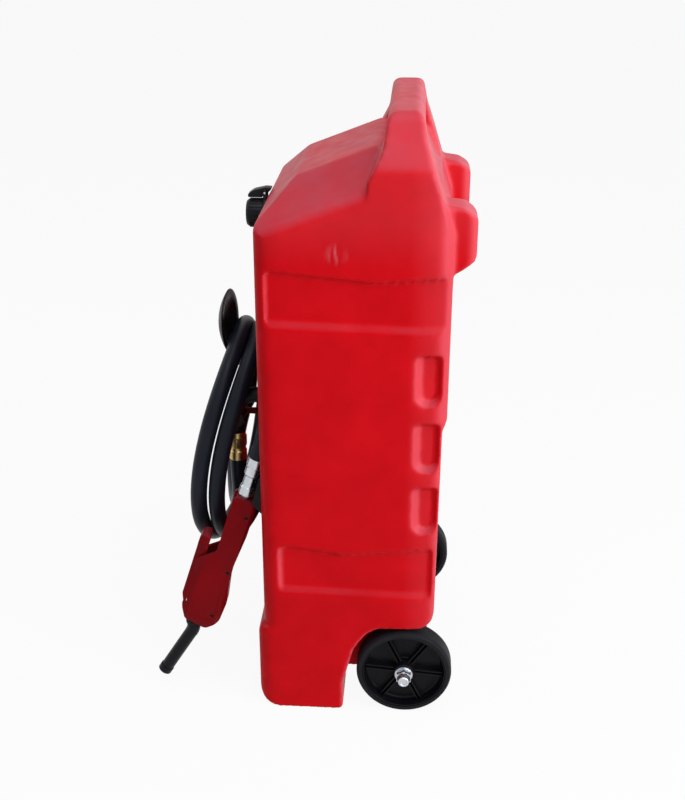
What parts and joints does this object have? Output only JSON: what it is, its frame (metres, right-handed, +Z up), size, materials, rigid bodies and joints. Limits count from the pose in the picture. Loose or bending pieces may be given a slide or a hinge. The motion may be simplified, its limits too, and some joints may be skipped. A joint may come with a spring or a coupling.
{
  "type": "wheeled fuel caddy",
  "caption": "Upright moulded fuel tank on rear wheels with a top handle, filler cap, looped dispensing hose on a hanger, and a hand pump with squeeze lever and spout.",
  "frame": {"origin": "on the floor, under the middle of the box round everything but the hose", "axes": "+Z up, -Y towards the hose and pump side, +X across the tank along the axle, towards the pump"},
  "size_m": [0.4434, 0.4898, 0.941],
  "materials": {
    "tank": "satin blow-moulded polyethylene",
    "pump_red": "satin moulded plastic",
    "black": "satin moulded plastic",
    "spout": "smooth",
    "wheel": "glossy moulded plastic",
    "tyre": "smooth tread",
    "hose": "satin, smooth cover",
    "rubber": "matte",
    "steel": "bright zinc plating",
    "brass": "machined",
    "ivory": "natural moulded plastic"
  },
  "bodies": {
    "caddy": {"tank": "tank", "neck_collar": "black", "latch_pin": "steel", "hose_hanger": "black", "hanger_screws": "steel", "outlet_gasket": "rubber", "outlet_elbow": "black", "outlet_screws": "steel", "hose_nut": "brass", "hose_tail": "brass", "dip_tube": "ivory", "strainer": "ivory", "hose_pump_lead": "hose", "hose_loops": "hose", "hose_tank_lead": "hose", "hose_swivel": "steel", "pump_holster": "black", "holster_screws": "steel", "pump_shell_left": "pump_red", "pump_shell_right": "pump_red", "lever_pin": "steel", "lever_spring": "steel", "pump_screws": "steel", "spout_collar": "black", "spout": "spout", "axle": "steel", "axle_washers": "steel", "axle_nuts": "steel"},
    "wheel_left": {"wheel_left": "wheel", "tyre_left": "tyre"},
    "wheel_right": {"wheel_right": "wheel", "tyre_right": "tyre"},
    "cap_seal": {"cap_gasket": "rubber"},
    "cap": {"filler_cap": "black"},
    "cap_latch": {"cap_latch": "black"},
    "valve": {"valve_ball": "brass", "valve_stem": "steel", "valve_lever": "pump_red"},
    "squeeze_lever": {"squeeze_lever": "pump_red"},
    "plunger": {"pump_plunger": "ivory"}
  },
  "joints": [
    {"name": "wheel_left_spin", "type": "hinge", "parent": "caddy", "child": "wheel_left", "pos_m": [-0.178, 0.15995, 0.075], "axis": [1, 0, 0], "continuous": true},
    {"name": "wheel_right_spin", "type": "hinge", "parent": "caddy", "child": "wheel_right", "pos_m": [0.178, 0.15995, 0.075], "axis": [1, 0, 0], "continuous": true},
    {"name": "cap_lift", "type": "slide", "parent": "caddy", "child": "cap_seal", "axis": [0, -1, 0], "range_m": [0, 0.012]},
    {"name": "cap_turn", "type": "hinge", "parent": "cap_seal", "child": "cap", "pos_m": [0, -0.07305, 0.762], "axis": [0, -1, 0], "range_deg": [0, 1080]},
    {"name": "cap_latch_tip", "type": "hinge", "parent": "caddy", "child": "cap_latch", "pos_m": [0, -0.06435, 0.795], "axis": [-1, 0, 0], "range_deg": [0, 10], "stiffness_Nm_per_rad": 0.05, "springref_deg": -11.46},
    {"name": "valve_turn", "type": "hinge", "parent": "caddy", "child": "valve", "pos_m": [0.07, -0.11005, 0.456], "axis": [1, 0, 0], "range_deg": [0, 90]},
    {"name": "lever_squeeze", "type": "hinge", "parent": "caddy", "child": "squeeze_lever", "pos_m": [0.142, -0.18649, 0.17062], "axis": [-1, 0, 0], "range_deg": [0, 6], "stiffness_Nm_per_rad": 1.5, "springref_deg": -5.73, "deforming": ["lever_spring"]},
    {"name": "plunger_push", "type": "slide", "parent": "caddy", "child": "plunger", "axis": [0, 0.9511, -0.309], "range_m": [0, 0.005]}
  ],
  "couplings": [
    {"joint": "cap_turn", "follows": "cap_lift", "rad_per_m": 1569.2},
    {"joint": "plunger_push", "follows": "lever_squeeze", "m_per_rad": 0.046}
  ]
}
